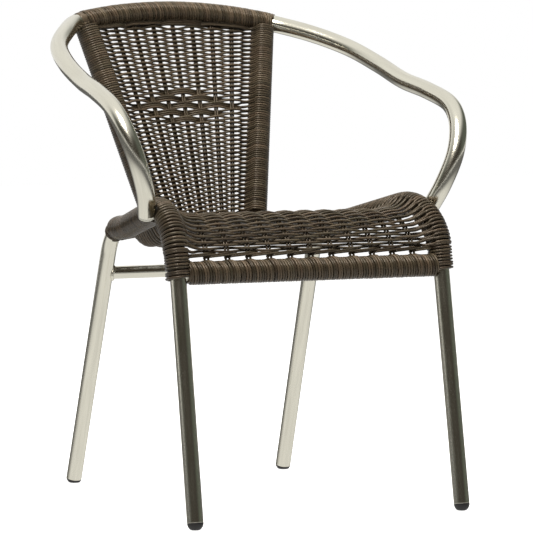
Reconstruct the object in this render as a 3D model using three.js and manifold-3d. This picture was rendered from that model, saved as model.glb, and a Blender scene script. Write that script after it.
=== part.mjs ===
// Stacking bistro armchair: bent aluminium tube frame with a woven seat and a woven back.
// Millimetres, +Z up, the chair faces -Y and is symmetric about X = 0.
// Inside this file Y = 0 is the line of the front feet; the finished group is then moved so that
// the origin lies on the floor under the middle of the whole chair.

import * as THREE from "three";
import * as BufferGeometryUtils from "three/addons/utils/BufferGeometryUtils.js";
import Module from "manifold-3d";

const wasm = await Module();
wasm.setup();

// Tubes and clearances
const legTubeRadius = 12;
const armTubeRadius = 13.5;
const uprightTubeRadius = 11;
const stretcherRadius = 10;
const tubeWall = 2;
const seatGap = 0.3;
const weldSize = 3.2;
const cutOverrun = 4;

// Side leg frames: front foot, front corner, knee in the side rail, rear corner, rear foot
const frontFootHalfSpan = 225.7;
const rearFootHalfSpan = 187.6;
const footPitch = 490.7;
const frontCornerHalfSpan = 222.9;
const frontCornerY = 87.6;
const frontCornerZ = 470;
const kneeHalfSpan = 190;
const kneeY = 310;
const kneeZ = 415;
const rearCornerHalfSpan = 180.2;
const rearCornerY = 376;
const rearCornerZ = 411;
const frontBendRadius = 80;
const kneeRadius = 300;
const rearBendRadius = 60;

// Foot caps
const frontCapHeight = 10.5;
const rearCapHeight = 7;
const capStemLength = 18;
const capSoleShare = 0.45;

// Cross members
const frontRailZ = 365.5;
const rearRailZ = 410;
const rearRailEndY = 361;
const rearRailMiddleY = 425;
const stretcherZ = 338.6;

// Top rail and arms, one tube
const topRailHalfSpan = 172;
const topRailY = 524;
const topRailZ = 722;
const topRailRise = 18;
const topRailSweep = 16;
const armHalfSpan = 289;
const armReach = 414;
const armWeldY = 134;
const armTailDrop = 4;
const armTailOut = 11.4;
const armTailForward = 17;
const armTailRise = 30.4;
const armPlugDome = 6;

// The arm leaves the top rail, swings out and forward, dips, and turns down to its tail:
// shares of the way out, the way forward and the way down to the weld.
const armPathShares = [
  [0.39, 0.128, 0.058],
  [0.709, 0.267, 0.136],
  [0.853, 0.426, 0.226],
  [0.904, 0.591, 0.311],
  [0.96, 0.744, 0.362],
  [1, 0.883, 0.428],
  [0.984, 0.939, 0.492],
  [0.935, 0.978, 0.582],
  [0.843, 1, 0.712],
];

// Back uprights
const uprightTopInset = 13;
const uprightTopHalfSpan = topRailHalfSpan - uprightTopInset;
const uprightFootHalfSpan = 87;

// Strand wraps
const topWrapRadius = 15.8;
const topWrapOverrun = 2.5;
const uprightWrapTopRadius = 18.5;
const uprightWrapFootRadius = 19;
const frontWrapRadius = 17.6;
const rearWrapRadius = 15.5;
const sideFrontWrapRadius = 18;
const sideRearWrapFrontRadius = 19;
const sideRearWrapRearRadius = 14.8;
const legWrapHemZ = 358;
const rearWrapHemZ = 397;
const wrapEndMargin = 1.5;

// Woven sheets
const weaveThickness = 4;
const weaveRelief = 1.4;
const backBow = 11;
const backColumns = 9;
const backRows = 11;
const seatColumns = 12;
const seatRows = 11;
const openingShare = 0.5;
const seatSag = 36;
const seatWallPower = 9;
// How far the middle of the seat hangs below its sides, from the front rail over the rounded
// front edge to the rear rail, at even steps: shares of the sag
const seatSagShares = [0, 0.06, 0.16, 0.24, 0.36, 0.6, 0.86, 1, 0.93, 0.52, 0];

// Counts
const tubeSides = 12;
const boreSides = 8;
const wrapSides = 12;
const bendSteps = 7;
const kneeSteps = 2;
const armSteps = 50;
const rearRailSteps = 6;
const capSides = 12;
const capDomeSteps = 3;

// Finishes
const finishes = {
  aluminium: { color: 0xc9c6bd, roughness: 0.22, metalness: 1 },
  weld: { color: 0xb5b2a8, roughness: 0.45, metalness: 1 },
  rattan: { color: 0x4a4037, roughness: 0.55, metalness: 0 },
  rubber: { color: 0x16161a, roughness: 0.6, metalness: 0 },
};

// A path through stations, with a ring at each station only, so straight runs stay one piece.
class StationPath extends THREE.Curve {
  constructor(points, tangents) {
    super();
    this.points = points;
    this.tangents = tangents;
    this.lengths = [0];
    for (let i = 1; i < points.length; i++) {
      this.lengths.push(this.lengths[i - 1] + points[i].distanceTo(points[i - 1]));
    }
  }

  get steps() {
    return this.points.length - 1;
  }

  getUtoTmapping(u) {
    return u;
  }

  locate(t) {
    const place = THREE.MathUtils.clamp(t, 0, 1) * this.steps;
    const index = Math.min(Math.floor(place), this.steps - 1);
    return { index, rest: place - index };
  }

  getPoint(t, target = new THREE.Vector3()) {
    const { index, rest } = this.locate(t);
    return target.lerpVectors(this.points[index], this.points[index + 1], rest);
  }

  getTangent(t, target = new THREE.Vector3()) {
    const { index, rest } = this.locate(t);
    return target.lerpVectors(this.tangents[index], this.tangents[index + 1], rest).normalize();
  }

  // Point and direction at a length along the path
  at(length) {
    const last = this.lengths[this.steps];
    const wanted = THREE.MathUtils.clamp(length, 0, last);
    let index = 0;
    while (index < this.steps - 1 && this.lengths[index + 1] < wanted) {
      index++;
    }
    const rest = (wanted - this.lengths[index]) / (this.lengths[index + 1] - this.lengths[index]);
    const t = (index + rest) / this.steps;
    return { point: this.getPoint(t), tangent: this.getTangent(t) };
  }

  // First length at which a coordinate crosses a value, counted from the start
  reach(axis, value) {
    for (let i = 1; i <= this.steps; i++) {
      const before = this.points[i - 1][axis] - value;
      const after = this.points[i][axis] - value;
      if (before * after <= 0 && before !== after) {
        const share = before / (before - after);
        return this.lengths[i - 1] + share * (this.lengths[i] - this.lengths[i - 1]);
      }
    }
    throw new Error(`the path never reaches ${axis} = ${value}`);
  }

  stretch(from, to) {
    const start = this.at(from);
    const end = this.at(to);
    const points = [start.point];
    const tangents = [start.tangent];
    for (let i = 0; i <= this.steps; i++) {
      if (this.lengths[i] > from + seatGap && this.lengths[i] < to - seatGap) {
        points.push(this.points[i]);
        tangents.push(this.tangents[i]);
      }
    }
    points.push(end.point);
    tangents.push(end.tangent);
    return new StationPath(points, tangents);
  }

  reversed() {
    const tangents = this.tangents.map((tangent) => tangent.clone().negate());
    return new StationPath([...this.points].reverse(), tangents.reverse());
  }

  mirrored() {
    const flip = new THREE.Vector3(-1, 1, 1);
    const points = this.points.map((point) => point.clone().multiply(flip));
    const tangents = this.tangents.map((tangent) => tangent.clone().multiply(flip));
    return new StationPath(points, tangents);
  }
}

// Straight runs joined by arcs, as a tube bender makes them
function bentPath(corners, radii, steps) {
  const points = [corners[0]];
  const tangents = [new THREE.Vector3().subVectors(corners[1], corners[0]).normalize()];
  for (let i = 1; i < corners.length - 1; i++) {
    const arriving = new THREE.Vector3().subVectors(corners[i], corners[i - 1]).normalize();
    const leaving = new THREE.Vector3().subVectors(corners[i + 1], corners[i]).normalize();
    const turn = arriving.angleTo(leaving);
    const setback = radii[i - 1] * Math.tan(turn / 2);
    const axis = new THREE.Vector3().crossVectors(arriving, leaving).normalize();
    const inward = new THREE.Vector3().crossVectors(axis, arriving);
    const centre = corners[i].clone().addScaledVector(arriving, -setback);
    centre.addScaledVector(inward, radii[i - 1]);
    for (let step = 0; step <= steps[i - 1]; step++) {
      const angle = (turn * step) / steps[i - 1];
      const spoke = inward.clone().negate().applyAxisAngle(axis, angle);
      points.push(centre.clone().addScaledVector(spoke, radii[i - 1]));
      tangents.push(arriving.clone().applyAxisAngle(axis, angle));
    }
  }
  const last = corners.length - 1;
  points.push(corners[last]);
  tangents.push(new THREE.Vector3().subVectors(corners[last], corners[last - 1]).normalize());
  return new StationPath(points, tangents);
}

function smoothPath(points, steps) {
  const curve = new THREE.CatmullRomCurve3(points, false, "centripetal");
  const stations = curve.getSpacedPoints(steps);
  const tangents = stations.map((_, i) => curve.getTangentAt(i / steps));
  return new StationPath(stations, tangents);
}

function straightPath(start, end) {
  const tangent = new THREE.Vector3().subVectors(end, start).normalize();
  return new StationPath([start, end], [tangent, tangent]);
}

// Solids
function toSolid(geometry) {
  const bare = geometry.clone();
  bare.deleteAttribute("normal");
  bare.deleteAttribute("uv");
  const merged = BufferGeometryUtils.mergeVertices(bare);
  const vertProperties = new Float32Array(merged.attributes.position.array);
  const triVerts = new Uint32Array(merged.index.array);
  const solid = new wasm.Manifold(new wasm.Mesh({ numProp: 3, vertProperties, triVerts }));
  if (solid.volume() < 0) {
    throw new Error("a shape has its faces pointing in");
  }
  return solid;
}

function toGeometry(solid) {
  const mesh = solid.getMesh();
  const geometry = new THREE.BufferGeometry();
  geometry.setAttribute("position", new THREE.BufferAttribute(mesh.vertProperties, 3));
  geometry.setIndex(new THREE.BufferAttribute(mesh.triVerts, 1));
  geometry.computeVertexNormals();
  return geometry;
}

function largestBody(solid) {
  const bodies = solid.decompose();
  bodies.sort((a, b) => b.volume() - a.volume());
  return bodies[0];
}

function minus(solid, ...cutters) {
  return largestBody(cutters.reduce((rest, cutter) => rest.subtract(cutter), solid));
}

function sweptRod(path, radius, sides) {
  const section = new THREE.Shape();
  const corners = [];
  for (let i = 0; i < sides; i++) {
    const angle = (2 * Math.PI * i) / sides;
    corners.push(new THREE.Vector2(radius * Math.cos(angle), radius * Math.sin(angle)));
  }
  section.setFromPoints(corners);
  const settings = { steps: path.steps, extrudePath: path, bevelEnabled: false };
  return toSolid(new THREE.ExtrudeGeometry(section, settings));
}

// A rod whose radius changes evenly from its start to its end
function taperedRod(path, startRadius, endRadius, sides) {
  const frames = path.computeFrenetFrames(path.steps);
  const positions = [];
  const indices = [];
  path.points.forEach((point, i) => {
    const share = path.lengths[i] / path.lengths[path.steps];
    const radius = THREE.MathUtils.lerp(startRadius, endRadius, share);
    for (let corner = 0; corner < sides; corner++) {
      const angle = (2 * Math.PI * corner) / sides;
      const spoke = frames.normals[i].clone().multiplyScalar(Math.cos(angle));
      spoke.addScaledVector(frames.binormals[i], Math.sin(angle));
      positions.push(...point.clone().addScaledVector(spoke, radius).toArray());
    }
  });
  for (let corner = 0; corner < sides; corner++) {
    const next = (corner + 1) % sides;
    for (let ring = 0; ring < path.steps * sides; ring += sides) {
      indices.push(ring + corner, ring + next, ring + sides + next);
      indices.push(ring + corner, ring + sides + next, ring + sides + corner);
    }
    if (corner > 0 && corner < sides - 1) {
      const last = path.steps * sides;
      indices.push(0, next, corner, last, last + corner, last + next);
    }
  }
  const geometry = new THREE.BufferGeometry();
  geometry.setAttribute("position", new THREE.Float32BufferAttribute(positions, 3));
  geometry.setIndex(indices);
  return toSolid(geometry);
}

function lengthened(path, extra) {
  const first = path.points[0].clone().addScaledVector(path.tangents[0], -extra);
  const last = path.points[path.steps].clone().addScaledVector(path.tangents[path.steps], extra);
  const points = [first, ...path.points.slice(1, -1), last];
  return new StationPath(points, path.tangents);
}

function tubeOf(path, radius) {
  return sweptRod(path, radius, tubeSides);
}

function hollow(rod, path, radius) {
  return rod.subtract(sweptRod(lengthened(path, cutOverrun), radius - tubeWall, boreSides));
}

// A lathed shape whose own +Y axis is turned to a direction
function turnedSolid(profile, sides, origin, direction) {
  const geometry = new THREE.LatheGeometry(profile, sides);
  const up = new THREE.Vector3(0, 1, 0);
  const turn = new THREE.Quaternion().setFromUnitVectors(up, direction);
  geometry.applyQuaternion(turn);
  geometry.translate(origin.x, origin.y, origin.z);
  return toSolid(geometry);
}

// Leg frame paths
function legFramePath(side) {
  const corners = [
    new THREE.Vector3(frontFootHalfSpan, 0, frontCapHeight),
    new THREE.Vector3(frontCornerHalfSpan, frontCornerY, frontCornerZ),
    new THREE.Vector3(kneeHalfSpan, kneeY, kneeZ),
    new THREE.Vector3(rearCornerHalfSpan, rearCornerY, rearCornerZ),
    new THREE.Vector3(rearFootHalfSpan, footPitch, rearCapHeight),
  ];
  const radii = [frontBendRadius, kneeRadius, rearBendRadius];
  const path = bentPath(corners, radii, [bendSteps, kneeSteps, bendSteps]);
  return side < 0 ? path.mirrored() : path;
}

const rightFrame = legFramePath(1);
const frameLength = rightFrame.lengths[rightFrame.steps];
const armWeldLength = rightFrame.reach("y", armWeldY);
const armWeld = rightFrame.at(armWeldLength).point;

// The arm and top rail path, from the left weld over the top rail to the right weld
function armPath() {
  const weldX = armWeld.x + legTubeRadius + armTubeRadius + seatGap;
  const armDrop = topRailZ - armWeld.z;
  const right = armPathShares.map(([out, forward, down]) => {
    const x = topRailHalfSpan + out * (armHalfSpan - topRailHalfSpan);
    return new THREE.Vector3(x, topRailY - forward * armReach, topRailZ - down * armDrop);
  });
  const tail = new THREE.Vector3(weldX, armWeldY, armWeld.z - armTailDrop);
  const tailTurn = new THREE.Vector3(armTailOut, -armTailForward, armTailRise + armTailDrop);
  right.push(tail.clone().add(tailTurn), tail);
  const left = right.map((point) => new THREE.Vector3(-point.x, point.y, point.z)).reverse();
  return smoothPath([...left, ...topRailPoints(), ...right], armSteps);
}

function topRailPoints() {
  const shares = [-1, -0.87, -0.52, 0, 0.52, 0.87, 1];
  return shares.map((share) => {
    const arch = 1 - share * share;
    const y = topRailY + arch * topRailSweep;
    return new THREE.Vector3(share * topRailHalfSpan, y, topRailZ + arch * topRailRise);
  });
}

const armAndTopRail = armPath();

function topRailAt(x) {
  const arch = 1 - (x / topRailHalfSpan) ** 2;
  return new THREE.Vector3(x, topRailY + arch * topRailSweep, topRailZ + arch * topRailRise);
}

// Cross member paths
function frontRailPath() {
  const { point } = rightFrame.at(rightFrame.reach("z", frontRailZ));
  return straightPath(new THREE.Vector3(-point.x, point.y, point.z), point);
}

function rearLegPoint(height) {
  const back = rightFrame.reversed();
  return back.at(back.reach("z", height)).point;
}

function stretcherPath() {
  const point = rearLegPoint(stretcherZ);
  return straightPath(new THREE.Vector3(-point.x, point.y, point.z), point);
}

const rearRailEnd = rightFrame.at(rightFrame.reach("y", rearRailEndY)).point;

function rearRailAt(x) {
  const arch = 1 - (x / rearRailEnd.x) ** 2;
  const y = rearRailEnd.y + arch * (rearRailMiddleY - rearRailEnd.y);
  return new THREE.Vector3(x, y, rearRailZ + (1 - arch) * (rearRailEnd.z - rearRailZ));
}

function rearRailPath() {
  const points = [];
  for (let i = 0; i <= rearRailSteps; i++) {
    points.push(rearRailAt(rearRailEnd.x * ((2 * i) / rearRailSteps - 1)));
  }
  return smoothPath(points, rearRailSteps);
}

function uprightPath(side) {
  const foot = rearRailAt(side * uprightFootHalfSpan);
  const head = topRailAt(side * uprightTopHalfSpan);
  return straightPath(foot, head);
}

// The finished parts are collected here in building order
const chair = new THREE.Group();

function addPart(name, solid, finish) {
  const material = new THREE.MeshStandardMaterial(finishes[finish]);
  const mesh = new THREE.Mesh(toGeometry(solid), material);
  mesh.name = name;
  chair.add(mesh);
}

const sides = [
  { name: "left", sign: -1 },
  { name: "right", sign: 1 },
];

// Rods with the outside of each tube, at full size or grown by a clearance
const framePaths = sides.map(({ sign }) => legFramePath(sign));
const frameRods = framePaths.map((path) => tubeOf(path, legTubeRadius));
const frameClear = framePaths.map((path) => tubeOf(path, legTubeRadius + seatGap));
const frameWeldZone = framePaths.map((path) => tubeOf(path, legTubeRadius + weldSize));
const armRod = tubeOf(armAndTopRail, armTubeRadius);
const armClear = tubeOf(lengthened(armAndTopRail, seatGap), armTubeRadius + seatGap);
const armWeldZone = tubeOf(armAndTopRail, armTubeRadius + weldSize);
const frontRail = frontRailPath();
const frontRailClear = tubeOf(frontRail, legTubeRadius + seatGap);
const rearRail = rearRailPath();
const rearRailClear = tubeOf(rearRail, stretcherRadius + seatGap);
const stretcher = stretcherPath();
const stretcherClear = tubeOf(stretcher, stretcherRadius + seatGap);
const uprights = sides.map(({ sign }) => uprightPath(sign));
const uprightClear = uprights.map((path) => tubeOf(path, uprightTubeRadius + seatGap));

// A weld bead fills the corner between a main tube and a branch
function weldBead(mainZone, branchZone, ...cutters) {
  return minus(mainZone.intersect(branchZone), ...cutters);
}

function addLegFrames() {
  sides.forEach(({ name }, i) => {
    const tube = hollow(frameRods[i], framePaths[i], legTubeRadius);
    addPart(`leg_frame_${name}`, tube, "aluminium");
  });
}

function addArmAndTopRail() {
  const tube = hollow(armRod, armAndTopRail, armTubeRadius);
  addPart("arm_and_top_rail_tube", minus(tube, ...frameClear), "aluminium");
}

function addCrossMembers() {
  const front = hollow(tubeOf(frontRail, legTubeRadius), frontRail, legTubeRadius);
  addPart("front_seat_rail_tube", minus(front, ...frameClear), "aluminium");
  const rear = hollow(tubeOf(rearRail, stretcherRadius), rearRail, stretcherRadius);
  addPart("rear_seat_rail_tube", minus(rear, ...frameClear), "aluminium");
  const bar = hollow(tubeOf(stretcher, stretcherRadius), stretcher, stretcherRadius);
  addPart("rear_stretcher_tube", minus(bar, ...frameClear), "aluminium");
}

function addUprights() {
  sides.forEach(({ name }, i) => {
    const rod = tubeOf(uprights[i], uprightTubeRadius);
    const tube = hollow(rod, uprights[i], uprightTubeRadius);
    addPart(`back_upright_${name}`, minus(tube, armClear, rearRailClear), "aluminium");
  });
}

// Welds: stretcher to rear legs, arm tails to side rails
const stretcherWeldZone = tubeOf(stretcher, stretcherRadius + weldSize);

function addWelds() {
  sides.forEach(({ name, sign }, i) => {
    const half = halfSpace(sign);
    const branch = stretcherWeldZone.intersect(half);
    const stretcherBead = weldBead(frameWeldZone[i], branch, frameClear[i], stretcherClear);
    addPart(`stretcher_weld_${name}`, stretcherBead, "weld");
    const tail = armWeldZone.intersect(half);
    const armBead = weldBead(frameWeldZone[i], tail, frameClear[i], armClear, plugClear[i]);
    addPart(`arm_weld_${name}`, armBead, "weld");
  });
}

function halfSpace(sign) {
  const size = 2 * (armHalfSpan + armReach + topRailZ);
  const box = new THREE.BoxGeometry(size, size, size);
  box.translate((sign * size) / 2, 0, 0);
  return toSolid(box);
}

// Foot caps: a stem in the tube and a domed sole cut flat on the floor
function footCap(point, direction) {
  const inner = (legTubeRadius - tubeWall) * Math.cos(Math.PI / boreSides) - seatGap;
  const domeDepth = point.z / direction.z + seatGap;
  const profile = [new THREE.Vector2(0, capStemLength), new THREE.Vector2(inner, capStemLength)];
  profile.push(new THREE.Vector2(inner, -seatGap), new THREE.Vector2(legTubeRadius, -seatGap));
  for (let step = 1; step <= capDomeSteps; step++) {
    const angle = (Math.PI / 2) * (step / capDomeSteps);
    const sole = legTubeRadius * capSoleShare;
    const radius = sole + (legTubeRadius - sole) * Math.cos(angle);
    profile.push(new THREE.Vector2(radius, -seatGap - domeDepth * Math.sin(angle)));
  }
  profile.push(new THREE.Vector2(0, -seatGap - domeDepth));
  const cap = turnedSolid(profile.reverse(), capSides, point, direction);
  const size = footPitch;
  const floor = new THREE.BoxGeometry(size, size, size);
  floor.translate(point.x, point.y, -size / 2);
  return minus(cap, toSolid(floor));
}

function addFootCaps() {
  sides.forEach(({ name }, i) => {
    const path = framePaths[i];
    const rearUp = path.tangents[path.steps].clone().negate();
    const front = footCap(path.points[0], path.tangents[0]);
    const rear = footCap(path.points[path.steps], rearUp);
    addPart(`foot_cap_front_${name}`, front, "rubber");
    addPart(`foot_cap_rear_${name}`, rear, "rubber");
  });
}

// Rounded plugs that close the arm tails
function armPlug(point, direction, grow) {
  const radius = armTubeRadius + grow;
  const inner = (armTubeRadius - tubeWall) * Math.cos(Math.PI / boreSides) - seatGap;
  const profile = [new THREE.Vector2(0, capStemLength), new THREE.Vector2(inner, capStemLength)];
  profile.push(new THREE.Vector2(inner, -seatGap + grow), new THREE.Vector2(radius, -seatGap + grow));
  for (let step = 1; step < capDomeSteps; step++) {
    const angle = (Math.PI / 2) * (step / capDomeSteps);
    const depth = (armPlugDome + grow) * Math.sin(angle);
    profile.push(new THREE.Vector2(radius * Math.cos(angle), -seatGap - depth));
  }
  profile.push(new THREE.Vector2(0, -seatGap - armPlugDome - grow));
  return turnedSolid(profile.reverse(), capSides, point, direction);
}

const armTails = [
  { point: armAndTopRail.points[0], direction: armAndTopRail.tangents[0] },
  {
    point: armAndTopRail.points[armAndTopRail.steps],
    direction: armAndTopRail.tangents[armAndTopRail.steps].clone().negate(),
  },
];
const plugClear = armTails.map(({ point, direction }) => armPlug(point, direction, seatGap));

function addArmPlugs() {
  const boreLine = lengthened(armAndTopRail, cutOverrun);
  const boreClear = sweptRod(boreLine, armTubeRadius - tubeWall - seatGap, boreSides);
  const wallClear = armClear.subtract(boreClear);
  sides.forEach(({ name }, i) => {
    const plug = armPlug(armTails[i].point, armTails[i].direction, 0);
    addPart(`arm_end_plug_${name}`, minus(plug, wallClear, frameClear[i]), "aluminium");
  });
}

// Strand wraps: sleeves round the tubes, each kept clear of what it meets
const hemLength = rightFrame.reach("z", legWrapHemZ);
const rearHemLength = frameLength - rightFrame.reversed().reach("z", rearWrapHemZ);
const sideFrontStretches = framePaths.map((path) =>
  path.stretch(hemLength, armWeldLength - wrapEndMargin),
);
const sideRearStretches = framePaths.map((path) =>
  path.stretch(armWeldLength + wrapEndMargin, rearHemLength),
);

function sideFrontRod(path, grow) {
  return sweptRod(path, sideFrontWrapRadius + grow, wrapSides);
}

function sideRearRod(path, grow) {
  const front = sideRearWrapFrontRadius + grow;
  return taperedRod(path, front, sideRearWrapRearRadius + grow, wrapSides);
}

// Room for the arm tube, its plug and its weld bead where the side wraps pass them
const tailLine = lengthened(armAndTopRail, armPlugDome + wrapEndMargin);
const tailClear = tubeOf(tailLine, armTubeRadius + weldSize + seatGap);

const sideFrontClear = sideFrontStretches.map((path) => sideFrontRod(path, seatGap));
const sideRearClear = sideRearStretches.map((path) => sideRearRod(path, seatGap));
const frontWrapClear = sweptRod(frontRail, frontWrapRadius + seatGap, wrapSides);
const rearWrapClear = sweptRod(rearRail, rearWrapRadius + seatGap, wrapSides);

const topWrap = armAndTopRail.stretch(
  armAndTopRail.reach("x", -topRailHalfSpan - topWrapOverrun),
  armAndTopRail.reach("x", topRailHalfSpan + topWrapOverrun),
);
const topWrapClear = sweptRod(topWrap, topWrapRadius + seatGap, wrapSides);

// The upright wraps swell towards the seat
function uprightWrapRod(path, grow) {
  const length = path.lengths[path.steps];
  const profile = [
    new THREE.Vector2(0, 0),
    new THREE.Vector2(uprightWrapFootRadius + grow, 0),
    new THREE.Vector2(uprightWrapTopRadius + grow, length),
    new THREE.Vector2(0, length),
  ];
  return turnedSolid(profile, wrapSides, path.points[0], path.tangents[0]);
}

const uprightWrapClear = uprights.map((path) => uprightWrapRod(path, seatGap));

function addWraps() {
  const top = sweptRod(topWrap, topWrapRadius, wrapSides);
  addPart("top_rail_wrap", minus(top, armClear, ...uprightClear), "rattan");
  const front = sweptRod(frontRail, frontWrapRadius, wrapSides);
  const frontCutters = [frontRailClear, ...frameClear, ...sideFrontClear];
  addPart("front_rail_wrap", minus(front, ...frontCutters), "rattan");
  const rear = sweptRod(rearRail, rearWrapRadius, wrapSides);
  const rearCutters = [rearRailClear, ...frameClear, ...sideRearClear, ...uprightClear];
  addPart("rear_rail_wrap", minus(rear, ...rearCutters), "rattan");
  sides.forEach(({ name }, i) => {
    const frontSide = sideFrontRod(sideFrontStretches[i], 0);
    const frontSleeve = minus(frontSide, frameClear[i], frontRailClear, tailClear);
    addPart(`side_wrap_front_${name}`, frontSleeve, "rattan");
    const rearSide = sideRearRod(sideRearStretches[i], 0);
    const rearSleeve = minus(rearSide, frameClear[i], rearRailClear, tailClear);
    addPart(`side_wrap_rear_${name}`, rearSleeve, "rattan");
    const upright = uprightWrapRod(uprights[i], 0);
    const uprightCutters = [uprightClear[i], armClear, topWrapClear, rearWrapClear];
    const uprightSleeve = minus(upright, ...uprightCutters);
    addPart(`upright_wrap_${name}`, uprightSleeve, "rattan");
  });
}

// A woven sheet: a curved lattice with real openings between its stakes and strands.
// surface(u, v) gives the middle of the sheet for u and v from 0 to 1.
function wovenSheet(surface, columns, rows) {
  const uLines = latticeLines(columns);
  const vLines = latticeLines(rows);
  const positions = [];
  const indices = [];
  const vertexAt = (i, j, layer) => (j * uLines.length + i) * 2 + layer;
  vLines.forEach((v, j) => {
    uLines.forEach((u, i) => {
      const middle = surface(u, v);
      const normal = sheetNormal(surface, u, v);
      const lift = crossingLift(i, j, uLines.length, vLines.length);
      for (const side of [-1, 1]) {
        const offset = lift + side * weaveThickness / 2;
        positions.push(...middle.clone().addScaledVector(normal, offset).toArray());
      }
    });
  });
  const quad = (a, b, c, d) => indices.push(a, b, c, a, c, d);
  const open = (i, j) => i < 0 || j < 0 || i >= uLines.length - 1 || j >= vLines.length - 1
    || (i % 2 === 1 && j % 2 === 1);
  for (let j = 0; j < vLines.length - 1; j++) {
    for (let i = 0; i < uLines.length - 1; i++) {
      if (open(i, j)) {
        continue;
      }
      const under = [[i, j], [i + 1, j], [i + 1, j + 1], [i, j + 1]].map(([a, b]) => vertexAt(a, b, 0));
      const over = under.map((index) => index + 1);
      quad(...over);
      quad(under[3], under[2], under[1], under[0]);
      const neighbours = [[i, j - 1], [i + 1, j], [i, j + 1], [i - 1, j]];
      neighbours.forEach(([a, b], edge) => {
        const next = (edge + 1) % 4;
        if (open(a, b)) {
          quad(under[edge], under[next], over[next], over[edge]);
        }
      });
    }
  }
  const geometry = new THREE.BufferGeometry();
  geometry.setAttribute("position", new THREE.Float32BufferAttribute(positions, 3));
  geometry.setIndex(indices);
  return toSolid(geometry);
}

// Each crossing stands out on the other side of the sheet than its neighbours, as in plain weave.
// The bars along the four edges stay level, because the wraps of the frame lie beside them.
function crossingLift(i, j, across, along) {
  const edge = i < 2 || j < 2 || i >= across - 2 || j >= along - 2;
  if (edge) {
    return 0;
  }
  const over = (Math.floor(i / 2) + Math.floor(j / 2)) % 2 === 0;
  return over ? weaveRelief / 2 : -weaveRelief / 2;
}

// Bars and openings take turns, with a bar at each end
function latticeLines(openings) {
  const bar = (1 - openingShare) / (openings + 1);
  const gap = openingShare / openings;
  const lines = [0];
  for (let i = 0; i < openings; i++) {
    lines.push(lines[lines.length - 1] + bar);
    lines.push(lines[lines.length - 1] + gap);
  }
  lines.push(1);
  return lines;
}

function sheetNormal(surface, u, v) {
  const step = 1 / 512;
  const u0 = Math.max(u - step, 0);
  const u1 = Math.min(u + step, 1);
  const v0 = Math.max(v - step, 0);
  const v1 = Math.min(v + step, 1);
  const across = new THREE.Vector3().subVectors(surface(u1, v), surface(u0, v));
  const along = new THREE.Vector3().subVectors(surface(u, v1), surface(u, v0));
  return across.cross(along).normalize();
}

// Back: from upright to upright and from the rear rail up to the top rail, bowed backwards
function backSurface(u, v) {
  const [left, right] = uprights.map((path) => path.getPoint(v));
  const across = 2 * u - 1;
  const point = new THREE.Vector3().lerpVectors(left, right, u);
  const arch = 1 - across * across;
  point.y += backBow * arch;
  point.z += arch * v * topRailRise * (uprightTopHalfSpan / topRailHalfSpan) ** 2;
  return point;
}

// Seat: its sides follow the leg frames up from the front rail, over the front bend and along the
// side rails. Its middle follows them lower, so the front edge is rounded and the rest hangs like
// a basket.
const seatSideStart = rightFrame.reach("z", frontRailZ);
const seatSideEnd = rightFrame.reach("y", rearRailEndY);
const sagPoints = seatSagShares.map((share, i) => new THREE.Vector3(i, share, 0));
const sagLine = new THREE.CatmullRomCurve3(sagPoints);

function seatSurface(u, v) {
  const across = 2 * u - 1;
  const side = rightFrame.at(seatSideStart + v * (seatSideEnd - seatSideStart)).point;
  const rear = rearRailAt(across * rearRailEnd.x);
  const wall = 1 - Math.abs(across) ** seatWallPower;
  const y = side.y + v * v * (rear.y - rearRailEnd.y);
  const z = side.z - wall * seatSag * sagLine.getPoint(v).y + v * v * (rear.z - rearRailEnd.z);
  return new THREE.Vector3(across * side.x, y, z);
}

function addWovenSheets() {
  const back = wovenSheet(backSurface, backColumns, backRows);
  const backCutters = [topWrapClear, rearWrapClear, ...uprightWrapClear];
  const backPanel = minus(back, ...backCutters);
  addPart("back_weave", backPanel, "rattan");
  const seat = wovenSheet(seatSurface, seatColumns, seatRows);
  const seatCutters = [
    ...sideFrontClear,
    ...sideRearClear,
    ...frameClear,
    frontWrapClear,
    rearWrapClear,
    ...uprightWrapClear,
  ];
  addPart("seat_weave", minus(seat, ...seatCutters), "rattan");
}

addLegFrames();
addArmAndTopRail();
addCrossMembers();
addUprights();
addWelds();
addFootCaps();
addArmPlugs();
addWraps();
addWovenSheets();

// Origin on the floor under the middle of the chair
const box = new THREE.Box3().setFromObject(chair, true);
chair.position.y = -(box.min.y + box.max.y) / 2;

export default chair;
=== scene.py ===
import math

import bpy
import numpy as np
from mathutils import Matrix, Vector


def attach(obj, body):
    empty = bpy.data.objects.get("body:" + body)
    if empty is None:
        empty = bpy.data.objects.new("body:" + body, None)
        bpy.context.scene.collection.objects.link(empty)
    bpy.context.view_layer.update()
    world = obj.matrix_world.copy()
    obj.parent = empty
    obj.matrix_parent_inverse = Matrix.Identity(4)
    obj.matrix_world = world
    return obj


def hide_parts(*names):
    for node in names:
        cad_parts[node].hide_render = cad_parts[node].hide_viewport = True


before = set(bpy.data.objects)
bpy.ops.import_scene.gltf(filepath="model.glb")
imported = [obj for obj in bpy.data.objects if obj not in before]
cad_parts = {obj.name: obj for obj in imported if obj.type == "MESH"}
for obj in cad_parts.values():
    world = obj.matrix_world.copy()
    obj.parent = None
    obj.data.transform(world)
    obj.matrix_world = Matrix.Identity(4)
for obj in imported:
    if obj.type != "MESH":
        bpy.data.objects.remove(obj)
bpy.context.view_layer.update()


# Side leg frames. Each is one length of aluminium tube, bent into front leg, seat side rail and
# rear leg, and polished before anything is woven on. The other tubes are welded to this pair.
leg_radius = 0.012
middle_from_front_feet = 0.271858
front_foot = (0.2257, 0.0, 0.0105)
front_bend = (0.2229, 0.0876, 0.470)
side_knee = (0.190, 0.310, 0.415)
rear_bend = (0.1802, 0.376, 0.411)
rear_foot = (0.1876, 0.4907, 0.007)
leg_bend_radii = (0.080, 0.300, 0.060)
tube_corners = 40
sides = {"left": -1, "right": 1}


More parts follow.
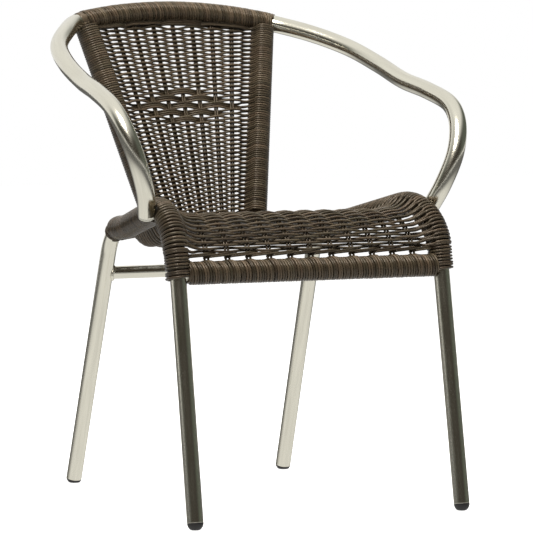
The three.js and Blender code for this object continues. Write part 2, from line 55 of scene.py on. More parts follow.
def unit(vectors):
    vectors = np.asarray(vectors, float)
    return vectors / np.linalg.norm(vectors, axis=-1, keepdims=True)


def to_chair(point):
    """From the line of the front feet to the middle of the chair."""
    return np.array(point, float) - (0, middle_from_front_feet, 0)


def bent_line(corners, radii, steps=20):
    """Straight runs joined by arcs, as a tube bender makes them."""
    line = [corners[0]]
    for before, corner, after, radius in zip(corners, corners[1:], corners[2:], radii):
        arriving = unit(corner - before)
        leaving = unit(after - corner)
        turn = math.acos(arriving @ leaving)
        inward = np.cross(unit(np.cross(arriving, leaving)), arriving)
        centre = corner - arriving * radius * math.tan(turn / 2) + inward * radius
        for angle in np.linspace(0, turn, steps):
            spoke = arriving * math.sin(angle) - inward * math.cos(angle)
            line.append(centre + spoke * radius)
    line.append(corners[-1])
    return np.array(line)


def lengths_along(line):
    return np.append(0, np.cumsum(np.linalg.norm(np.diff(line, axis=0), axis=1)))


def at_lengths(line, wanted):
    known = lengths_along(line)
    return np.stack([np.interp(wanted, known, line[:, axis]) for axis in range(3)], axis=-1)


def with_end_rings(line, inset=0.0004):
    """A second ring close to each end keeps the shading of a long straight tube even."""
    total = lengths_along(line)[-1]
    first, last = at_lengths(line, np.array([inset, total - inset]))
    return np.vstack([line[:1], [first], line[1:-1], [last], line[-1:]])


def reach(line, axis, value):
    """The first length along a line at which one coordinate passes a value."""
    offset = line[:, axis] - value
    index = int(np.nonzero(offset[:-1] * offset[1:] <= 0)[0][0])
    share = offset[index] / (offset[index] - offset[index + 1])
    known = lengths_along(line)
    return known[index] + share * (known[index + 1] - known[index])


def mirrored(line):
    return line * (-1, 1, 1)


def directions(line):
    return unit(np.gradient(line, axis=0))


def carried_normals(line):
    """A direction square to the line at every point, turned no more than the line turns."""
    along = directions(line)
    start = np.eye(3)[int(np.argmin(np.abs(along[0])))]
    normals = [unit(np.cross(along[0], start))]
    for direction in along[1:]:
        last = normals[-1]
        normals.append(unit(last - direction * (last @ direction)))
    return np.array(normals)


# Keeps the places round one strand clear of the next strand's number
uv_margin = 0.02


class Hank:
    """Rods, tubes and strands laid along lines, gathered into one mesh.

    In the UV map a strand's whole number is its place in the hank, the rest goes round it,
    and V is its length in metres."""

    def __init__(self, corners=8):
        self.corners = corners
        self.points = []
        self.quads = []
        self.ends = []
        self.quad_uvs = []
        self.end_uvs = []
        self.count = 0
        self.strands = 0

    def lay(self, line, facing=None, width=0.003, thickness=None):
        """Width lies across the line and thickness along the facing direction."""
        line = np.asarray(line, float)
        along = directions(line)
        facing = carried_normals(line) if facing is None else np.asarray(facing, float)
        across = unit(np.cross(along, facing))
        outward = np.cross(across, along)
        thickness = width if thickness is None else thickness
        half_width = np.broadcast_to(np.asarray(width, float) / 2, len(line))
        half_thickness = np.broadcast_to(np.asarray(thickness, float) / 2, len(line))
        angles = 2 * np.pi * np.arange(self.corners) / self.corners
        rings = line[:, None] + (
            across[:, None] * (half_width[:, None] * np.cos(angles))[..., None]
            + outward[:, None] * (half_thickness[:, None] * np.sin(angles))[..., None]
        )
        ring = np.arange(len(line) - 1)[:, None] * self.corners + self.count
        corner = np.arange(self.corners)[None]
        after = (corner + 1) % self.corners
        low = ring + corner
        quads = np.stack([low, ring + after, ring + after + self.corners, low + self.corners], -1)
        lengths = lengths_along(line)
        corner_step = (1 - 2 * uv_margin) / self.corners
        round_low = self.strands + uv_margin + corner * corner_step
        round_high = round_low + corner_step
        start, stop = lengths[:-1, None], lengths[1:, None]
        corners_uv = [(round_low, start), (round_high, start), (round_high, stop), (round_low, stop)]
        uv = [np.stack(np.broadcast_arrays(u, v), -1) for u, v in corners_uv]
        self.quad_uvs.append(np.stack(uv, 2).reshape(-1, 4, 2))
        self.points.append(rings.reshape(-1, 3))
        self.quads.append(quads.reshape(-1, 4))
        first = self.count + np.arange(self.corners)[::-1]
        last = self.count + (len(line) - 1) * self.corners + np.arange(self.corners)
        for end, length in ((first, 0.0), (last, lengths[-1])):
            self.ends.append(end)
            self.end_uvs.append(np.tile((self.strands + 0.5, length), (self.corners, 1)))
        self.count += len(line) * self.corners
        self.strands += 1

    def piece(self, name, material, slot, *nodes):
        """The mesh as one finished piece that stands for its solids."""
        points = np.concatenate(self.points)
        quads = np.concatenate(self.quads)
        ends = np.array(self.ends)
        loops = np.concatenate([quads.ravel(), ends.ravel()])
        sizes = np.append(np.full(len(quads), 4), np.full(len(ends), self.corners))
        uvs = np.concatenate([np.concatenate(self.quad_uvs).ravel(), np.array(self.end_uvs).ravel()])
        mesh = bpy.data.meshes.new(name)
        mesh.vertices.add(len(points))
        mesh.vertices.foreach_set("co", points.astype(np.float32).ravel())
        mesh.loops.add(len(loops))
        mesh.loops.foreach_set("vertex_index", loops.astype(np.int32))
        mesh.polygons.add(len(sizes))
        starts = np.append(0, np.cumsum(sizes)[:-1])
        mesh.polygons.foreach_set("loop_start", starts.astype(np.int32))
        mesh.polygons.foreach_set("loop_total", sizes.astype(np.int32))
        mesh.uv_layers.new(name="UVMap").data.foreach_set("uv", uvs.astype(np.float32))
        mesh.update(calc_edges=True)
        mesh.polygons.foreach_set("use_smooth", sizes == 4)
        mesh.materials.append(material)
        made = bpy.data.objects.new(name, mesh)
        bpy.context.scene.collection.objects.link(made)
        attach(made, "root")
        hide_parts(*nodes)


def new_group(name, inputs, outputs):
    """A shader node group. Inputs are (name, kind, value) and outputs are (name, kind)."""
    group = bpy.data.node_groups.new(name, "ShaderNodeTree")
    for label, kind, value in inputs:
        socket = group.interface.new_socket(label, in_out="INPUT", socket_type=kind)
        if value is not None:
            socket.default_value = value

    for label, kind in outputs:
        group.interface.new_socket(label, in_out="OUTPUT", socket_type=kind)
    return group, group.nodes.new("NodeGroupInput"), group.nodes.new("NodeGroupOutput")


def feed(tree, socket, value):
    """Gives a socket a plain value, or what another socket puts out."""
    if isinstance(value, bpy.types.NodeSocket):
        tree.links.new(value, socket)
    elif value is not None:
        socket.default_value = value


def math_node(tree, operation, first, second=None, third=None):
    node = tree.nodes.new("ShaderNodeMath")
    node.operation = operation
    for socket, value in zip(node.inputs, (first, second, third)):
        feed(tree, socket, value)
    return node.outputs[0]


def scaled(tree, value, factor, shift):
    return math_node(tree, "MULTIPLY_ADD", value, factor, shift)


def clamped(tree, value):
    node = tree.nodes.new("ShaderNodeClamp")
    tree.links.new(value, node.inputs["Value"])
    return node.outputs[0]


def ranged(tree, value, low, high):
    """Spreads a value that runs from 0 to 1 over the range from low to high."""
    node = tree.nodes.new("ShaderNodeMapRange")
    for label, given in (("Value", value), ("To Min", low), ("To Max", high)):
        tree.links.new(given, node.inputs[label])
    return node.outputs[0]


def two_tones(tree, share, first, second):
    """The first colour where the share is 0, the second where it is 1."""
    node = tree.nodes.new("ShaderNodeMix")
    node.data_type = "RGBA"
    for label, value in (("Factor", share), ("A", first), ("B", second)):
        feed(tree, node.inputs[label], value)
    return node.outputs["Result"]


def noise_node(tree, place, scale, detail=2.0, stretch=(1, 1, 1)):
    spread = tree.nodes.new("ShaderNodeMapping")
    spread.inputs["Scale"].default_value = stretch
    tree.links.new(place, spread.inputs["Vector"])
    noise = tree.nodes.new("ShaderNodeTexNoise")
    noise.inputs["Scale"].default_value = scale
    noise.inputs["Detail"].default_value = detail
    tree.links.new(spread.outputs[0], noise.inputs["Vector"])
    return noise.outputs["Fac"]


# Polishing marks: fine lines along the tube, and broad softer patches from handling
polish, polish_in, polish_out = new_group(
    "polishing marks",
    [
        ("Place", "NodeSocketVector", None),
        ("Smooth", "NodeSocketFloat", 0.12),
        ("Dull", "NodeSocketFloat", 0.3),
        ("Clean", "NodeSocketColor", (0.8, 0.79, 0.75, 1)),
        ("Hazy", "NodeSocketColor", (0.7, 0.68, 0.63, 1)),
    ],
    [("Color", "NodeSocketColor"), ("Roughness", "NodeSocketFloat"), ("Height", "NodeSocketFloat")],
)
marks_place = polish_in.outputs["Place"]
fine_lines = noise_node(polish, marks_place, scale=60, detail=3, stretch=(1, 1, 0.12))
patches = noise_node(polish, marks_place, scale=2.2, detail=3, stretch=(1, 1, 6))
haze = scaled(polish, patches, factor=1.6, shift=-0.35)
haze = clamped(polish, scaled(polish, fine_lines, factor=0.35, shift=haze))
haze_roughness = ranged(polish, haze, polish_in.outputs["Smooth"], polish_in.outputs["Dull"])
haze_colour = two_tones(polish, haze, polish_in.outputs["Clean"], polish_in.outputs["Hazy"])
polish.links.new(haze_colour, polish_out.inputs["Color"])
polish.links.new(haze_roughness, polish_out.inputs["Roughness"])
polish.links.new(fine_lines, polish_out.inputs["Height"])


def uv_parts(tree):
    """The two parts of the UV map: round a tube or strand, and along it in metres."""
    uv = tree.nodes.new("ShaderNodeUVMap")
    parts = tree.nodes.new("ShaderNodeSeparateXYZ")
    tree.links.new(uv.outputs[0], parts.inputs[0])
    return parts.outputs["X"], parts.outputs["Y"]


def combined(tree, *parts):
    node = tree.nodes.new("ShaderNodeCombineXYZ")
    for part, socket in zip(parts, node.inputs):
        tree.links.new(part, socket)
    return node.outputs[0]


def tube_place(tree):
    """Where a point is on a tube: round it, without a seam, and along it in metres."""
    around, along = uv_parts(tree)
    turn = math_node(tree, "MULTIPLY", around, 2 * math.pi)
    return combined(tree, math_node(tree, "COSINE", turn), math_node(tree, "SINE", turn), along)


def solid_place(tree):
    """Where a point is on the chair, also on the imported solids, which have no UV map."""
    return tree.nodes.new("ShaderNodeTexCoord").outputs["Object"]


def new_material(name):
    material = bpy.data.materials.new(name)
    material.use_nodes = True
    return material, material.node_tree, material.node_tree.nodes["Principled BSDF"]


def group_in(tree, group, values):
    """Places a shader node group in a material, with that material's own values."""
    node = tree.nodes.new("ShaderNodeGroup")
    node.node_tree = group
    for label, value in values.items():
        feed(tree, node.inputs[label], value)
    return [node.outputs[label] for label in ("Color", "Roughness", "Height")]


def dress(tree, shader, colour, roughness, height, strength, depth):
    """Gives a shader its colour, its roughness and a fine relief from a height."""
    relief = tree.nodes.new("ShaderNodeBump")
    relief.inputs["Strength"].default_value = strength
    relief.inputs["Distance"].default_value = depth
    tree.links.new(height, relief.inputs["Height"])
    tree.links.new(colour, shader.inputs["Base Color"])
    tree.links.new(roughness, shader.inputs["Roughness"])
    tree.links.new(relief.outputs[0], shader.inputs["Normal"])


def metal(name, place_of, clean, hazy, smooth, dull, strength):
    material, tree, shader = new_material(name)
    shader.inputs["Metallic"].default_value = 1.0
    values = {"Place": place_of(tree), "Smooth": smooth, "Dull": dull, "Clean": clean, "Hazy": hazy}
    dress(tree, shader, *group_in(tree, polish, values), strength, depth=0.0002)
    return material


def refinish(node, material):
    """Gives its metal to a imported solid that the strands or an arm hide."""
    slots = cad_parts[node].data.materials
    slots.clear()
    slots.append(material)


# Where it is clean, and where it is hazy
bright_metal = ((0.85, 0.82, 0.69, 1), (0.74, 0.71, 0.6, 1))
polished_tube = metal(
    "polished aluminium tube", tube_place, *bright_metal, smooth=0.1, dull=0.24, strength=0.08
)
hidden_tube = metal(
    "aluminium under the strands", solid_place, *bright_metal, smooth=0.2, dull=0.4, strength=0.1
)

leg_corners = [to_chair(p) for p in (front_foot, front_bend, side_knee, rear_bend, rear_foot)]
right_leg_line = bent_line(leg_corners, leg_bend_radii)
leg_lines = {"left": mirrored(right_leg_line), "right": right_leg_line}
for side, line in leg_lines.items():
    leg = Hank(corners=tube_corners)
    leg.lay(with_end_rings(line), width=2 * leg_radius)
    leg.piece(f"leg_frame_tube_{side}", polished_tube, "aluminium", f"leg_frame_{side}")


# Cross members. Straight tubes tie the legs together: one at the front of the seat, one low
# between the rear legs. A bowed one closes the seat at the back. All are welded to the legs.
cross_radius = 0.010
front_rail_height = 0.3655
rear_rail_height = 0.410
rear_rail_end_y = 0.361 - middle_from_front_feet
rear_rail_middle_y = 0.425 - middle_from_front_feet
stretcher_height = 0.3386

front_rail_end = at_lengths(right_leg_line, reach(right_leg_line, 2, front_rail_height))
rear_rail_end = at_lengths(right_leg_line, reach(right_leg_line, 1, rear_rail_end_y))
rear_leg_line = right_leg_line[::-1]
stretcher_end = at_lengths(rear_leg_line, reach(rear_leg_line, 2, stretcher_height))


def rear_rail_at(x):
    """The middle of the bowed rear rail."""
    x = np.asarray(x, float)
    arch = 1 - (x / rear_rail_end[0]) ** 2
    y = rear_rail_end_y + arch * (rear_rail_middle_y - rear_rail_end_y)
    z = rear_rail_height + (1 - arch) * (rear_rail_end[2] - rear_rail_height)
    return np.stack([x, y, z], axis=-1)


stretcher = Hank(corners=tube_corners)
stretcher_line = np.array([stretcher_end * (-1, 1, 1), stretcher_end])
stretcher.lay(with_end_rings(stretcher_line), width=2 * cross_radius)
stretcher.piece("rear_stretcher", polished_tube, "aluminium", "rear_stretcher_tube")
refinish("front_seat_rail_tube", hidden_tube)
refinish("rear_seat_rail_tube", hidden_tube)


# Arms and top rail. One thicker tube starts beside the left seat rail, rises as the left arm,
# crosses over the back and comes down as the right arm. Its ends are welded to the side rails.
arm_radius = 0.0135
arm_corners = 44
top_rail_half_span = 0.172
top_rail_y = 0.524 - middle_from_front_feet
top_rail_height = 0.722
top_rail_rise = 0.018
top_rail_sweep = 0.016
arm_half_span = 0.289
arm_reach = 0.414
arm_weld_y = 0.134 - middle_from_front_feet
arm_tail_drop = 0.004
arm_tail_turn = (0.0114, -0.017, 0.0344)
top_wrap_overrun = 0.0025
weld_clearance = 0.0003
# The way out, the way forward and the way down from the top rail to the weld, as shares
arm_path_shares = [
    (0.39, 0.128, 0.058),
    (0.709, 0.267, 0.136),
    (0.853, 0.426, 0.226),
    (0.904, 0.591, 0.311),
    (0.96, 0.744, 0.362),
    (1, 0.883, 0.428),
    (0.984, 0.939, 0.492),
    (0.935, 0.978, 0.582),
    (0.843, 1, 0.712),
]


def smooth_line(points, spacing=0.004, steps=40):
    """A centripetal Catmull-Rom curve through the points, as even short steps."""
    points = np.array(points)
    points = np.vstack([2 * points[0] - points[1], points, 2 * points[-1] - points[-2]])
    dense = []
    for p0, p1, p2, p3 in zip(points, points[1:], points[2:], points[3:]):
        d0, d1, d2 = (math.sqrt(np.linalg.norm(b - a)) for a, b in ((p0, p1), (p1, p2), (p2, p3)))
        leave = ((p1 - p0) / d0 - (p2 - p0) / (d0 + d1) + (p2 - p1) / d1) * d1
        arrive = ((p2 - p1) / d1 - (p3 - p1) / (d1 + d2) + (p3 - p2) / d2) * d1
        t = np.linspace(0, 1, steps, endpoint=False)[:, None]
        cubic = 2 * p1 - 2 * p2 + leave + arrive
        square = 3 * p2 - 3 * p1 - 2 * leave - arrive
        dense.append(p1 + leave * t + square * t**2 + cubic * t**3)
    dense = np.vstack(dense + [points[-2]])
    total = lengths_along(dense)[-1]
    return at_lengths(dense, np.linspace(0, total, int(total / spacing) + 1))


def top_rail_at(x):
    """The middle of the arched top rail."""
    x = np.asarray(x, float)
    arch = 1 - (x / top_rail_half_span) ** 2
    return np.stack([x, top_rail_y + arch * top_rail_sweep, top_rail_height + arch * top_rail_rise], -1)


arm_weld = at_lengths(right_leg_line, reach(right_leg_line, 1, arm_weld_y))
right_arm = [
    (
        top_rail_half_span + out * (arm_half_span - top_rail_half_span),
        top_rail_y - forward * arm_reach,
        top_rail_height - down * (top_rail_height - arm_weld[2]),
    )
    for out, forward, down in arm_path_shares
]
arm_weld_x = arm_weld[0] + leg_radius + arm_radius + weld_clearance
arm_tail = (arm_weld_x, arm_weld_y, arm_weld[2] - arm_tail_drop)
right_arm += [tuple(np.add(arm_tail, arm_tail_turn)), arm_tail]
left_arm = [(-x, y, z) for x, y, z in reversed(right_arm)]
rail_shares = np.array([-1, -0.87, -0.52, 0, 0.52, 0.87, 1])
arm_line = smooth_line(left_arm + list(top_rail_at(rail_shares * top_rail_half_span)) + right_arm)

arm_tube = Hank(corners=arm_corners)
arm_tube.lay(arm_line, width=2 * arm_radius)
arm_tube.piece("arms_and_top_rail", polished_tube, "aluminium", "arm_and_top_rail_tube")


# Back uprights. Two tubes fan out from the rear seat rail to the top rail and carry the back.
# They are wound over with strand, so the bare solid with a duller metal is enough.
upright_foot = 0.087
upright_head = 0.159
upright_lines = {
    side: np.array([rear_rail_at(sign * upright_foot), top_rail_at(sign * upright_head)])
    for side, sign in sides.items()
}
for side in sides:
    refinish(f"back_upright_{side}", hidden_tube)


# Welds. A soft rippled bead runs round each end of the stretcher. The beads of the arm tails sit
# deep between arm and rail and keep their solids, coloured near black as painted shade.
bead_width = 0.0062
bead_corners = 12
bead_steps = 72
bead_ripples = 16
bead_ripple_share = 0.05
# Near black colours for the weld under the arm: painted shade in the gap between arm and rail
weld_painted_shade_colours = ((0.1, 0.09, 0.075, 1), (0.05, 0.045, 0.038, 1))
weld_metal = metal("aluminium weld", tube_place, *bright_metal, smooth=0.16, dull=0.34, strength=0.3)
hidden_weld = metal(
    "aluminium weld under the arm", solid_place, *weld_painted_shade_colours, smooth=0.5, dull=0.7, strength=0.5
)


def weld_ring(branch, end, main_line, main_radius, branch_radius):
    """The curve on which a round branch meets a straight stretch of tube."""
    near = np.argsort(np.linalg.norm(main_line - end, axis=1))[:2]
    main = unit(main_line[near[0]] - main_line[near[1]])
    out = unit(np.cross(main, branch))
    up = np.cross(branch, out)
    turns = np.linspace(0, 2 * np.pi, bead_steps + 1)[:, None]
    spokes = (out * np.cos(turns) + up * np.sin(turns)) * branch_radius
    sideways = spokes - (spokes @ main)[:, None] * main
    lean = branch - (branch @ main) * main
    a = lean @ lean
    b = 2 * sideways @ lean
    c = (sideways**2).sum(1) - main_radius**2
    depth = (-b - np.sqrt(b**2 - 4 * a * c)) / (2 * a)
    return end + spokes + depth[:, None] * branch


for side, sign in sides.items():
    end = stretcher_end * (sign, 1, 1)
    ring = weld_ring(np.array([float(sign), 0, 0]), end, leg_lines[side][-2:], leg_radius, cross_radius)
    ripple = np.sin(np.linspace(0, 2 * np.pi * bead_ripples, len(ring)))
    bead = Hank(corners=bead_corners)
    bead.lay(ring, facing=unit(ring - end), width=bead_width * (1 + bead_ripple_share * ripple))
    bead.piece(f"stretcher_bead_{side}", weld_metal, "weld", f"stretcher_weld_{side}")
    refinish(f"arm_weld_{side}", hidden_weld)


# Foot caps and arm plugs. Black rubber caps, each with a plain stem, are pushed into the four leg
# ends and wear flat on the floor. A domed metal plug closes each arm tail.
cap_stem = 0.018
cap_stem_radius = 0.0089
cap_stem_lead = 0.002
cap_stem_tip_share = 0.7
cap_shoulder = 0.0004
cap_shoulder_share = 0.97
cap_dome_angles = np.linspace(0.1, np.pi / 2, 10)
cap_sole_share = 0.22
cap_sole_press = 0.0006
plug_dome = 0.006
plug_dome_angles = np.linspace(0.15, np.pi / 2 - 0.08, 10)
plug_stem_radius = 0.0102
plug_stem_tip_share = 0.8
ring_gap = 0.0001

rubber, rubber_tree, rubber_shader = new_material("black cap rubber")
rubber_place = solid_place(rubber_tree)
grain = noise_node(rubber_tree, rubber_place, scale=900)
dust = noise_node(rubber_tree, rubber_place, scale=90, detail=3)
rubber_colour = two_tones(rubber_tree, dust, (0.006, 0.006, 0.007, 1), (0.03, 0.028, 0.026, 1))
rubber_roughness = scaled(rubber_tree, dust, factor=0.3, shift=0.35)
dress(rubber_tree, rubber_shader, rubber_colour, rubber_roughness, grain, strength=0.25, depth=0.0002)


def turned_line(origin, direction, profile):
    """A lathed piece as a straight line of rings: (distance along, radius) pairs."""
    distances = np.array([distance for distance, _ in profile])
    radii = np.array([radius for _, radius in profile])
    return origin + distances[:, None] * direction, 2 * radii


def foot_cap(name, foot, up, node):
    """A stem in the tube, a shoulder against its end and a dome worn flat on the floor."""
    depth = foot[2] / up[2]
    sole = leg_radius * cap_sole_share
    profile = [(cap_stem, cap_stem_radius * cap_stem_tip_share), (cap_stem - cap_stem_lead, cap_stem_radius)]
    profile += [(ring_gap, cap_stem_radius), (0.0, leg_radius * cap_shoulder_share)]
    profile.append((-cap_shoulder, leg_radius))
    for angle in cap_dome_angles:
        radius = sole + (leg_radius - sole) * math.cos(angle)
        profile.append((-cap_shoulder - (depth + cap_shoulder) * math.sin(angle), radius))
    profile.append((-depth - cap_sole_press, sole / 2))
    rings, widths = turned_line(foot, up, profile)
    cap = Hank(corners=tube_corners)
    cap.lay(rings, facing=np.tile(unit(np.cross(up, (0, 1, 0))), (len(rings), 1)), width=widths)
    cap.points[0][:, 2] = np.maximum(cap.points[0][:, 2], 0)
    cap.piece(name, rubber, "rubber", node)


for side, line in leg_lines.items():
    along = directions(line)
    foot_cap(f"front_foot_{side}", line[0], along[0], f"foot_cap_front_{side}")
    foot_cap(f"rear_foot_{side}", line[-1], -along[-1], f"foot_cap_rear_{side}")

for side, tail, inward in (
    ("left", arm_line[0], directions(arm_line)[0]),
    ("right", arm_line[-1], -directions(arm_line)[-1]),
):
    profile = [(cap_stem, plug_stem_radius * plug_stem_tip_share)]
    profile += [(ring_gap, plug_stem_radius), (0.0, arm_radius)]
    for angle in plug_dome_angles:
        profile.append((-plug_dome * math.sin(angle), arm_radius * math.cos(angle)))
    rings, widths = turned_line(tail, inward, profile)
    plug = Hank(corners=arm_corners)
    plug.lay(rings, width=widths)
    plug.piece(f"arm_plug_{side}", polished_tube, "aluminium", f"arm_end_plug_{side}")


# Strand windings. Round extruded strand, dark grey brown, is wound tight round every tube that
# carries the weave. Turns lie side by side, and the rear of each side rail is wound in a cone.
wrap_strand = 0.0034
top_wrap_radius = 0.0158
top_wrap_pitch = 0.0042
top_wrap_starts = 5
front_wrap_radius = 0.0176
front_wrap_pitch = 0.0043
front_wrap_starts = 4
rear_wrap_radius = 0.0155
rear_wrap_pitch = 0.0044
rear_wrap_starts = 3
upright_wrap_radii = (0.019, 0.0185)
# An upright's winding ends inside the windings of the rails, at this share of their radius
rail_wrap_share = 0.8
leg_hem_radius = 0.0188
leg_hem_pitch = 0.0044
leg_hem_strand = 0.004
leg_hem_overlap = 0.0315
leg_hem_height = 0.358
rear_hem_radii = (0.016, 0.0148)
rear_hem_pitch = 0.0036
rear_hem_strand = 0.003
rear_hem_starts = 2
rear_hem_overlap = 0.006
rear_hem_height = 0.402
weld_margin = 0.0015
tail_points = 30
# Under the turns that the wefts take round a tube lies a thinner first layer
core_radius = 0.0148
core_strand = 0.0026
core_pitch = 0.0038
side_core_starts = 2
upright_core_starts = 3

# Strand tone: each strand has its own shade, which drifts along it, and long thin streaks
strand_own_row = 7.31
drifts_per_metre = 14.0
streaks_per_turn = 9.0
streaks_per_metre = 40.0
strand_tone, tone_in, tone_out = new_group(
    "strand tone",
    [
        ("Dark", "NodeSocketColor", (0.045, 0.036, 0.027, 1)),
        ("Brown", "NodeSocketColor", (0.1, 0.078, 0.055, 1)),
        ("Green", "NodeSocketColor", (0.075, 0.072, 0.052, 1)),
        ("Roughness low", "NodeSocketFloat", 0.34),
        ("Roughness high", "NodeSocketFloat", 0.55),
    ],
    [("Color", "NodeSocketColor"), ("Roughness", "NodeSocketFloat"), ("Height", "NodeSocketFloat")],
)
round_strand, along_strand = uv_parts(strand_tone)
strand_number = math_node(strand_tone, "FLOOR", round_strand)
own_row = math_node(strand_tone, "MULTIPLY", strand_number, strand_own_row)
drift = math_node(strand_tone, "MULTIPLY", along_strand, drifts_per_metre)
slow_place = combined(strand_tone, own_row, drift)
streaks_round = math_node(strand_tone, "MULTIPLY", round_strand, streaks_per_turn)
streaks_along = math_node(strand_tone, "MULTIPLY", along_strand, streaks_per_metre)
streaks = noise_node(strand_tone, combined(strand_tone, streaks_round, streaks_along), scale=1.0, detail=3)

own_shade = strand_tone.nodes.new("ShaderNodeTexWhiteNoise")
own_shade.noise_dimensions = "1D"
strand_tone.links.new(strand_number, own_shade.inputs["W"])
slow_shade = noise_node(strand_tone, slow_place, scale=1.0)
shade = scaled(strand_tone, own_shade.outputs["Value"], factor=0.45, shift=slow_shade)
shade = scaled(strand_tone, shade, factor=1.35, shift=-1.04)
shade = clamped(strand_tone, scaled(strand_tone, streaks, factor=0.9, shift=shade))
browns = two_tones(strand_tone, shade, tone_in.outputs["Dark"], tone_in.outputs["Brown"])
green_share = noise_node(strand_tone, slow_place, scale=0.6, detail=1)
green_share = clamped(strand_tone, scaled(strand_tone, green_share, factor=1.4, shift=-0.45))
strand_colour = two_tones(strand_tone, green_share, browns, tone_in.outputs["Green"])
gloss = ranged(strand_tone, streaks, tone_in.outputs["Roughness low"], tone_in.outputs["Roughness high"])
strand_tone.links.new(strand_colour, tone_out.inputs["Color"])
strand_tone.links.new(gloss, tone_out.inputs["Roughness"])
strand_tone.links.new(streaks, tone_out.inputs["Height"])


def strand_finish(name, dark, brown, green):
    material, tree, shader = new_material(name)
    shader.inputs["IOR"].default_value = 1.5
    shader.inputs["Specular IOR Level"].default_value = 0.45
    shader.inputs["Specular Tint"].default_value = (1, 0.89, 0.78, 1)
    values = {"Dark": dark, "Brown": brown, "Green": green, "Roughness low": 0.2, "Roughness high": 0.34}
    dress(tree, shader, *group_in(tree, strand_tone, values), strength=0.35, depth=0.0003)
    return material


wound_dark = (0.022, 0.0155, 0.0095, 1)
wound_brown = (0.124, 0.0885, 0.059, 1)
wound_green = (0.075, 0.066, 0.042, 1)
wound_strand = strand_finish("wound strand", wound_dark, wound_brown, wound_green)
winding_seed = 7
chance = np.random.default_rng(winding_seed)


def between(start, stop, share):
    return start + (stop - start) * share


def soft(share):
    """A soft change from 0 to 1."""
    return share**2 * (3 - 2 * share)


def wavy(count, step, size):
    """A smooth random line of numbers, one for each point."""
    knots = chance.normal(0, size, int(count / step) + 3)
    return np.interp(np.arange(count) / step, np.arange(len(knots)), knots)


# A strand fills most of its pitch and stands a little high. It strays along the tube by a share
# of the pitch, and off it by a real length, slowly over a number of points.
strand_fill = 0.86
strand_press = 1.08
points_per_turn = 22
fewest_points = 8
line_points = 160
stray_along = 0.13
stray_along_points = 16
stray_off = 0.00012
stray_off_points = 30
rod_depth = 0.8
rod_step = 0.008
rod_inset = 0.001


def wind(hank, line, pitch, radii, starts, thickness=wrap_strand, tail=None, swell=None, tube=leg_radius):
    """Winds parallel strands round a line. Radii are outside the winding, at its two ends.

    A rod beneath keeps the bare tube out of sight. Beside an arm tail the rod stops and the strands
    sink to the tube. A swell lifts the strands over what lies beneath."""
    total = lengths_along(line)[-1]
    rod = at_lengths(line, np.linspace(rod_inset, total - rod_inset, max(int(total / rod_step), 2)))
    rod_radius = np.linspace(radii[0], radii[1], len(rod)) - thickness * rod_depth
    rod_radius = np.maximum(rod_radius, (tube + ring_gap) / math.cos(math.pi / hank.corners))
    if tail is not None:
        to_tail = np.linalg.norm(rod[:, None] - tail[None], axis=2).min(1)
        beyond = to_tail > arm_radius + core_radius
        rod, rod_radius = rod[beyond], rod_radius[beyond]
    hank.lay(rod, width=2 * rod_radius)

    fine = at_lengths(line, np.linspace(0, total, line_points))
    along = directions(fine)
    normals = carried_normals(fine)
    known = lengths_along(fine)
    for start in range(starts):
        turns = (total - start * pitch) / (starts * pitch)
        angles = np.linspace(0, 2 * np.pi * turns, max(int(turns * points_per_turn), fewest_points))
        places = start * pitch + angles / (2 * np.pi) * starts * pitch
        places = np.clip(places + wavy(len(angles), stray_along_points, pitch * stray_along), 0, total)
        radius = between(*radii, places / total) - thickness / 2
        radius += wavy(len(angles), stray_off_points, stray_off)
        middle = at_lengths(fine, places)
        near = np.clip(np.searchsorted(known, places), 0, len(fine) - 1)
        out = unit(
            normals[near] * np.cos(angles)[:, None]
            + np.cross(along[near], normals[near]) * np.sin(angles)[:, None]
        )
        if swell is not None:
            radius = radius + swell(middle, out)
        points = middle + out * radius[:, None]
        if tail is not None:
            gap = np.linalg.norm(points[:, None] - tail[None], axis=2).min(1)
            beside = gap < arm_radius + thickness / 2
            points[beside] = middle[beside] + out[beside] * (leg_radius - thickness / 2)
        hank.lay(points, facing=out, width=pitch * strand_fill, thickness=thickness * strand_press)


def kept_clear(points, line, radius):
    """Strands that would run through a tube are pressed out to its surface."""
    offsets = points[:, None] - line[None]
    distances = np.linalg.norm(offsets, axis=2)
    nearest = distances.argmin(1)
    rows = np.arange(len(points))
    near = distances[rows, nearest]
    push = np.maximum(radius - near, 0) / np.maximum(near, 1e-6)
    return points + offsets[rows, nearest] * push[:, None]


def stretch(line, start, stop, spacing=0.003):
    return at_lengths(line, np.linspace(start, stop, max(int((stop - start) / spacing), 2)))


top_start = reach(arm_line, 0, -top_rail_half_span - top_wrap_overrun)
top_stop = reach(arm_line, 0, top_rail_half_span + top_wrap_overrun)
top_winding = Hank()
top_line = stretch(arm_line, top_start, top_stop)
top_radii = (top_wrap_radius, top_wrap_radius)
wind(top_winding, top_line, top_wrap_pitch, top_radii, top_wrap_starts, tube=arm_radius)
top_winding.piece("top_rail_winding", wound_strand, "strand", "top_rail_wrap")

front_inner = front_rail_end[0] - leg_radius
front_line_points = 60
seat_stake_step = 0.035
stake_swell = 0.0017
stake_swell_flat = 0.003
stake_swell_slope = 0.008
stake_swell_upward = 0.8
stake_swell_backward = 0.5
stake_swell_around = 0.2
stake_bed = 0.0004


def swell_over_stakes(middle, out):
    """The turns lie on the stakes that come round the top and back of the front rail."""
    offset = np.abs((middle[:, 0] / seat_stake_step + 0.5) % 1 - 0.5) * seat_stake_step
    over_stake = soft(np.clip(1 - (offset - stake_swell_flat) / stake_swell_slope, 0, 1))
    upward = out[:, 2] * stake_swell_upward
    backward = out[:, 1] * stake_swell_backward
    touched = np.clip(upward + backward + stake_swell_around, 0, 1)
    return stake_swell * over_stake * touched - stake_bed


